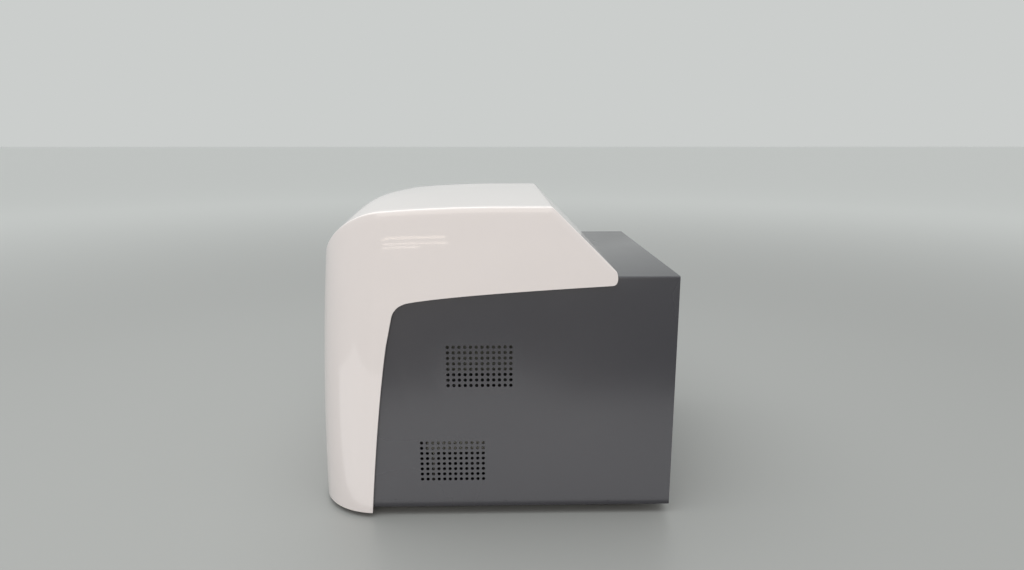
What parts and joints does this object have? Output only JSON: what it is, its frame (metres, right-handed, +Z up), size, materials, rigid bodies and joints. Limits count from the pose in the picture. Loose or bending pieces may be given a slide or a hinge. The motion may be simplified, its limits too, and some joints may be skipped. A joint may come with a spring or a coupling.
{
  "type": "thermal cycler",
  "caption": "Benchtop real-time thermal cycler: white hood over a vented sheet chassis, front door, touch screen, sample block, and heated lid with a scanning optics carriage.",
  "frame": {"origin": "on the table plane, under the middle of the machine's overall box", "axes": "+Z up; the front, with its door and display, faces -Y; +X is on the right of someone who stands in front of the machine"},
  "size_m": [0.448, 0.4849, 0.4225],
  "materials": {
    "white_plastic": "glossy moulded",
    "dark_paint": "fine satin powder coat",
    "black_paint": "matte powder coat",
    "black_plastic": "matte moulded",
    "grey_plastic": "fine textured",
    "rubber": "matte",
    "zinc_sheet": "zinc plated",
    "steel": "bright",
    "aluminium": "bead blasted",
    "screen_glass": "gloss black glass",
    "circuit_board": "solder mask",
    "ceramic": "fired ceramic"
  },
  "bodies": {
    "housing": {"front_hood": "white_plastic", "chassis_cover": "dark_paint", "rear_panel": "dark_paint", "vent_screen_upper_right": "dark_paint", "vent_screen_lower_right": "dark_paint", "vent_screen_lower_left": "dark_paint", "base_pan": "black_paint", "block_deck": "zinc_sheet", "chamber_liner": "black_plastic", "foot_front_left": "rubber", "foot_front_right": "rubber", "foot_rear_left": "rubber", "foot_rear_right": "rubber", "rear_screw_left_1": "steel", "rear_screw_left_2": "steel", "rear_screw_right_1": "steel", "rear_screw_right_2": "steel", "door_pivot_left": "black_plastic", "door_pivot_right": "black_plastic", "exhaust_fan_frame_left": "black_plastic", "exhaust_fan_frame_right": "black_plastic", "fan_guard_left": "steel", "fan_guard_right": "steel", "screen_bezel": "black_plastic", "touch_screen": "screen_glass", "display_board": "circuit_board", "front_usb_socket": "steel", "sample_block": "aluminium", "peltier_plate": "ceramic", "heat_sink": "aluminium", "block_surround": "black_plastic", "block_fan_frame": "black_plastic", "lid_hinge_frame": "zinc_sheet", "lid_hinge_pin": "steel", "power_supply": "zinc_sheet", "board_shelf": "zinc_sheet", "main_board": "circuit_board", "power_inlet": "black_plastic", "port_panel": "steel"},
    "door": {"front_door": "white_plastic", "door_arm_left": "zinc_sheet", "door_arm_right": "zinc_sheet"},
    "lid": {"lid_housing": "grey_plastic", "lid_base_plate": "aluminium", "heater_plate": "aluminium", "guide_rod_front": "steel", "guide_rod_rear": "steel", "scan_motor": "steel", "idler_post": "steel", "scan_belt": "rubber"},
    "handle": {"lid_handle": "grey_plastic"},
    "carriage": {"optics_carriage": "black_plastic"},
    "drive_wheel": {"drive_pulley": "aluminium"},
    "idler_wheel": {"idler_pulley": "aluminium"},
    "exhaust_rotor_left": {"exhaust_fan_rotor_left": "black_plastic"},
    "exhaust_rotor_right": {"exhaust_fan_rotor_right": "black_plastic"},
    "block_rotor": {"block_fan_rotor": "black_plastic"},
    "button": {"power_button": "grey_plastic"},
    "rocker": {"power_rocker": "black_plastic"}
  },
  "joints": [
    {"name": "door_hinge", "type": "hinge", "parent": "housing", "child": "door", "pos_m": [-0.074, -0.196, 0.369], "axis": [-1, 0, 0], "range_deg": [0, 82]},
    {"name": "lid_hinge", "type": "hinge", "parent": "housing", "child": "lid", "pos_m": [-0.074, 0.012, 0.232], "axis": [-1, 0, 0], "range_deg": [0, 45]},
    {"name": "handle_pivot", "type": "hinge", "parent": "lid", "child": "handle", "pos_m": [-0.074, -0.181, 0.256], "axis": [-1, 0, 0], "range_deg": [0, 25], "stiffness_Nm_per_rad": 0.2, "springref_deg": -11.46},
    {"name": "optics_scan", "type": "slide", "parent": "lid", "child": "carriage", "axis": [1, 0, 0], "range_m": [0, 0.099]},
    {"name": "drive_pulley_turn", "type": "hinge", "parent": "lid", "child": "drive_wheel", "pos_m": [-0.008, -0.026, 0.262], "axis": [0, 0, 1], "range_deg": [0, 700]},
    {"name": "idler_pulley_turn", "type": "hinge", "parent": "lid", "child": "idler_wheel", "pos_m": [-0.146, -0.026, 0.262], "axis": [0, 0, 1], "range_deg": [0, 700]},
    {"name": "exhaust_fan_left_spin", "type": "hinge", "parent": "housing", "child": "exhaust_rotor_left", "pos_m": [-0.128, 0.226, 0.236], "axis": [0, 1, 0], "continuous": true},
    {"name": "exhaust_fan_right_spin", "type": "hinge", "parent": "housing", "child": "exhaust_rotor_right", "pos_m": [-0.018, 0.226, 0.236], "axis": [0, 1, 0], "continuous": true},
    {"name": "block_fan_spin", "type": "hinge", "parent": "housing", "child": "block_rotor", "pos_m": [-0.074, -0.11, 0.098], "axis": [0, 0, 1], "continuous": true},
    {"name": "power_button_press", "type": "slide", "parent": "housing", "child": "button", "axis": [0, 1, 0], "range_m": [0, 0.002], "stiffness_N_per_m": 600, "springref_m": -0.001},
    {"name": "rocker_tilt", "type": "hinge", "parent": "housing", "child": "rocker", "pos_m": [0.15, 0.2404, 0.092], "axis": [-1, 0, 0], "range_deg": [0, 20]}
  ],
  "couplings": [
    {"joint": "drive_pulley_turn", "follows": "optics_scan", "rad_per_m": 121.95},
    {"joint": "idler_pulley_turn", "follows": "optics_scan", "rad_per_m": 121.95}
  ]
}
